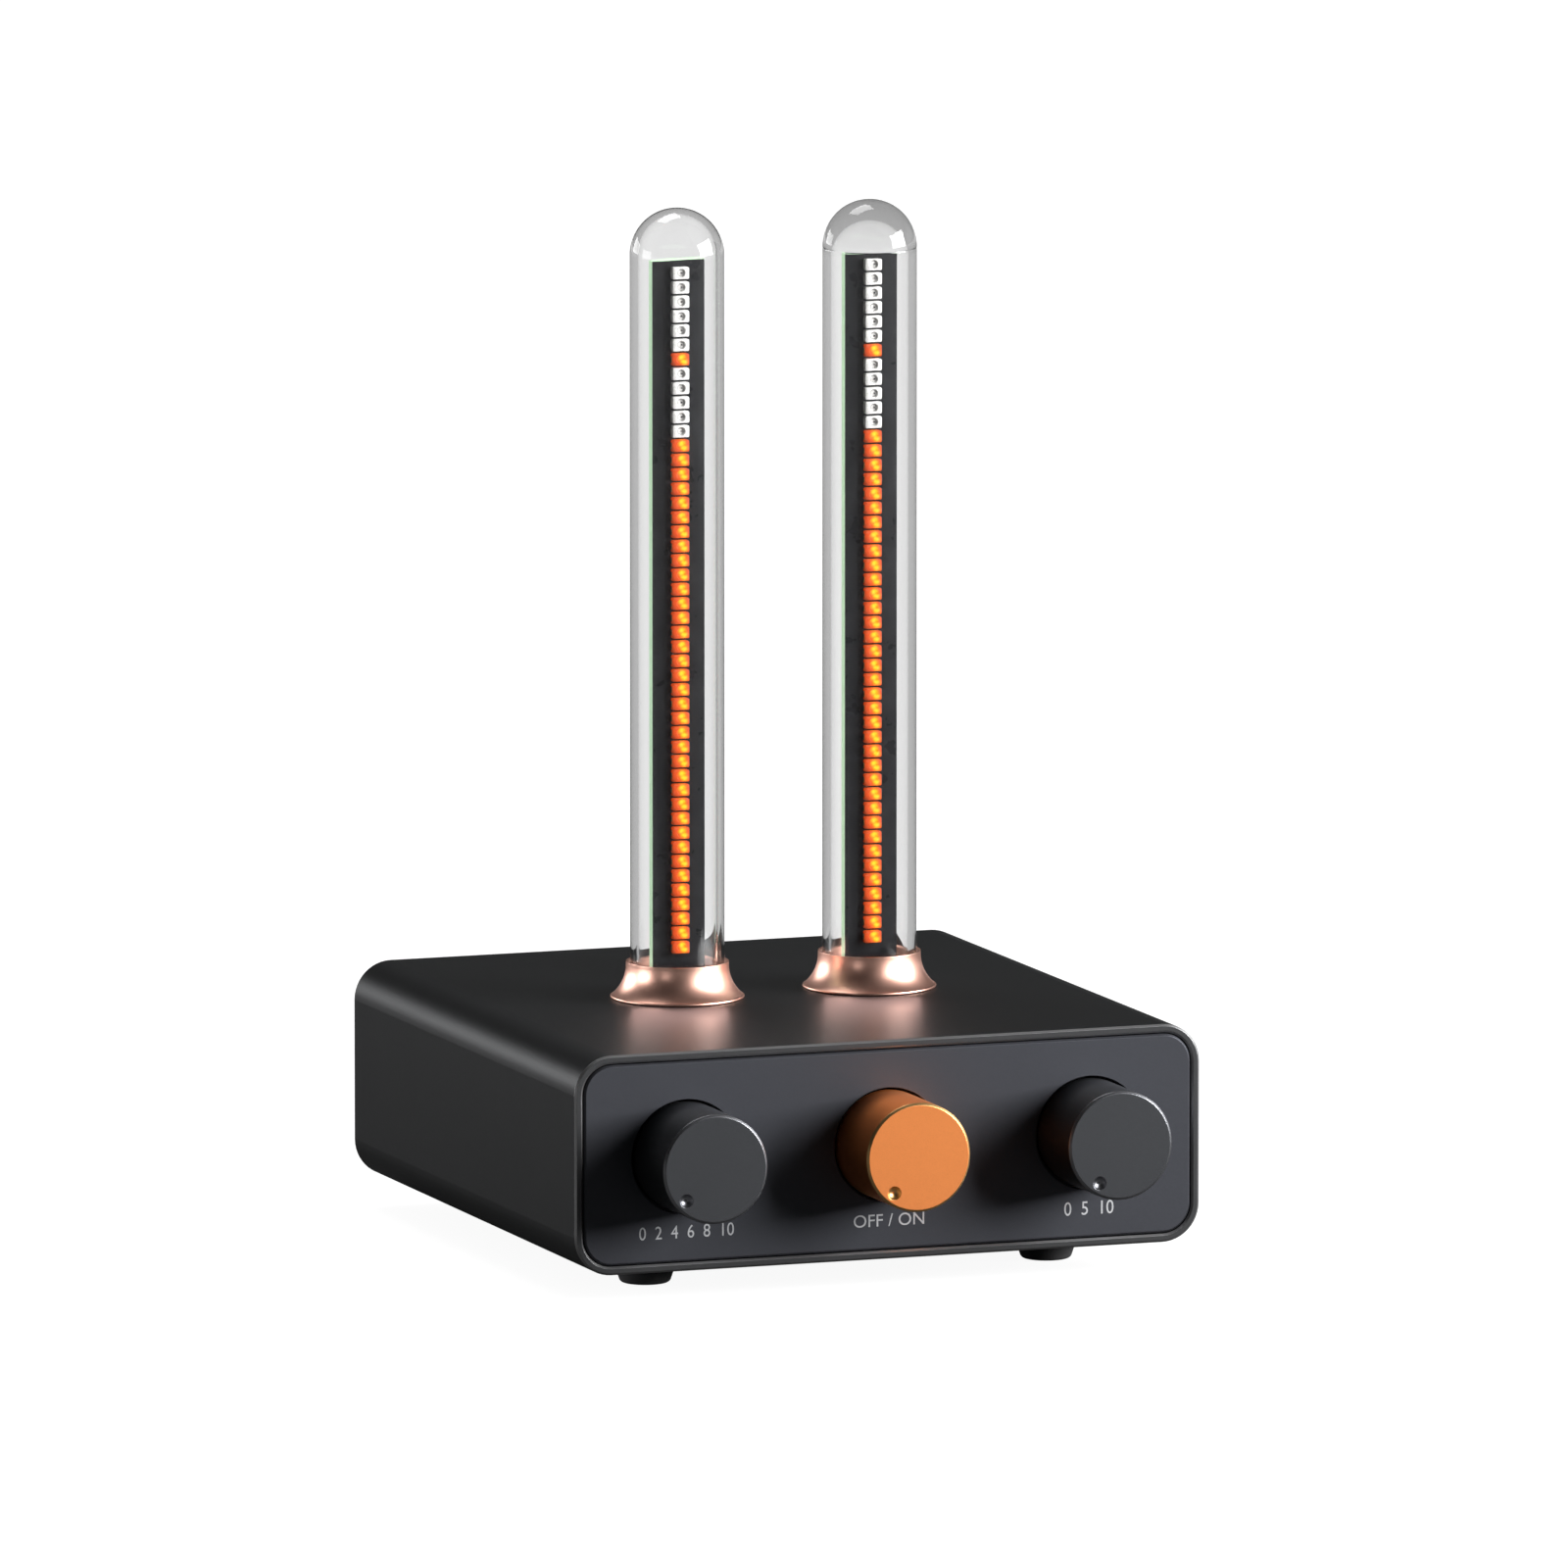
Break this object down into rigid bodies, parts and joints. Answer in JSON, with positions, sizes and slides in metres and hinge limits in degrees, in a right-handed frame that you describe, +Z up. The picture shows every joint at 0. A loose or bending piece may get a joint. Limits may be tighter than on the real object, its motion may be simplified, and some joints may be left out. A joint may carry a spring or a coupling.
{
  "type": "music visualizer light",
  "caption": "Desktop sound meter: flat black metal case with three round dials on its front, and two upright glass tubes in copper collars, each with a column of small lamps inside.",
  "frame": {"origin": "under the middle of the whole outline, on the surface that the feet stand on", "axes": "+Z up along the tubes, +Y to the rear, +X to the right as seen from the dials"},
  "size_m": [0.116, 0.134, 0.1836],
  "materials": {
    "case_metal": "bead-blasted, black anodised",
    "panel_metal": "bead-blasted, dark grey anodised, cut edges left light",
    "bare_metal": "machined",
    "steel": "zinc plated",
    "black_steel": "black oxide",
    "plated_steel": "nickel plated",
    "brass": "turned",
    "copper": "polished copper plate",
    "grey_knob": "bead-blasted, dark grey anodised",
    "orange_knob": "bead-blasted, orange anodised",
    "rubber": "matte moulded",
    "black_plastic": "moulded",
    "pot_plastic": "moulded",
    "blue_sleeve": "shrunk sleeve",
    "green_board": "glass fibre board with green lacquer",
    "black_board": "glass fibre board with black lacquer",
    "lit_lamp": "clear lens over a lit orange chip",
    "dark_lamp": "white lamp package, unlit",
    "clear_glass": "clear drawn tube with a closed round end"
  },
  "bodies": {
    "case": {"case_sleeve": "case_metal", "front_panel": "panel_metal", "pot_plate": "bare_metal", "pot_plate_screws": "steel", "rear_panel": "case_metal", "rear_screws": "black_steel", "front_left_foot": "rubber", "front_right_foot": "rubber", "rear_left_foot": "rubber", "rear_right_foot": "rubber", "foot_screws": "steel", "foot_nuts": "steel", "main_board": "green_board", "board_standoffs": "brass", "board_screws": "steel", "controller_chip": "black_plastic", "power_chip": "black_plastic", "capacitors": "blue_sleeve", "power_inlet": "plated_steel", "inlet_tongue": "black_plastic", "line_jack": "black_plastic", "line_jack_nut": "plated_steel", "microphone": "plated_steel", "sensitivity_pot": "pot_plastic", "light_pot": "pot_plastic", "delay_pot": "pot_plastic", "pot_washers": "steel", "pot_nuts": "steel", "left_tube": "clear_glass", "left_collar": "copper", "left_collar_nut": "steel", "left_seal_ring": "rubber", "left_board_holder": "black_plastic", "left_light_bar": "black_board", "left_lit_lamps": "lit_lamp", "left_dark_lamps": "dark_lamp", "left_driver_chips": "black_plastic", "left_bar_socket": "black_plastic", "right_tube": "clear_glass", "right_collar": "copper", "right_collar_nut": "steel", "right_seal_ring": "rubber", "right_board_holder": "black_plastic", "right_light_bar": "black_board", "right_lit_lamps": "lit_lamp", "right_dark_lamps": "dark_lamp", "right_driver_chips": "black_plastic", "right_bar_socket": "black_plastic"},
    "sensitivity_dial": {"sensitivity_knob": "grey_knob", "sensitivity_hub": "black_plastic", "sensitivity_shaft": "bare_metal"},
    "light_dial": {"light_knob": "orange_knob", "light_hub": "black_plastic", "light_shaft": "bare_metal"},
    "delay_dial": {"delay_knob": "grey_knob", "delay_hub": "black_plastic", "delay_shaft": "bare_metal"}
  },
  "joints": [
    {"name": "sensitivity_turn", "type": "hinge", "parent": "case", "child": "sensitivity_dial", "pos_m": [-0.0375, -0.0555, 0.02535], "axis": [0, 1, 0], "range_deg": [-16, 284]},
    {"name": "light_turn", "type": "hinge", "parent": "case", "child": "light_dial", "pos_m": [0, -0.0555, 0.02535], "axis": [0, 1, 0], "range_deg": [-7, 293]},
    {"name": "delay_turn", "type": "hinge", "parent": "case", "child": "delay_dial", "pos_m": [0.0375, -0.0555, 0.02535], "axis": [0, 1, 0], "range_deg": [-1.5, 298.5]}
  ]
}
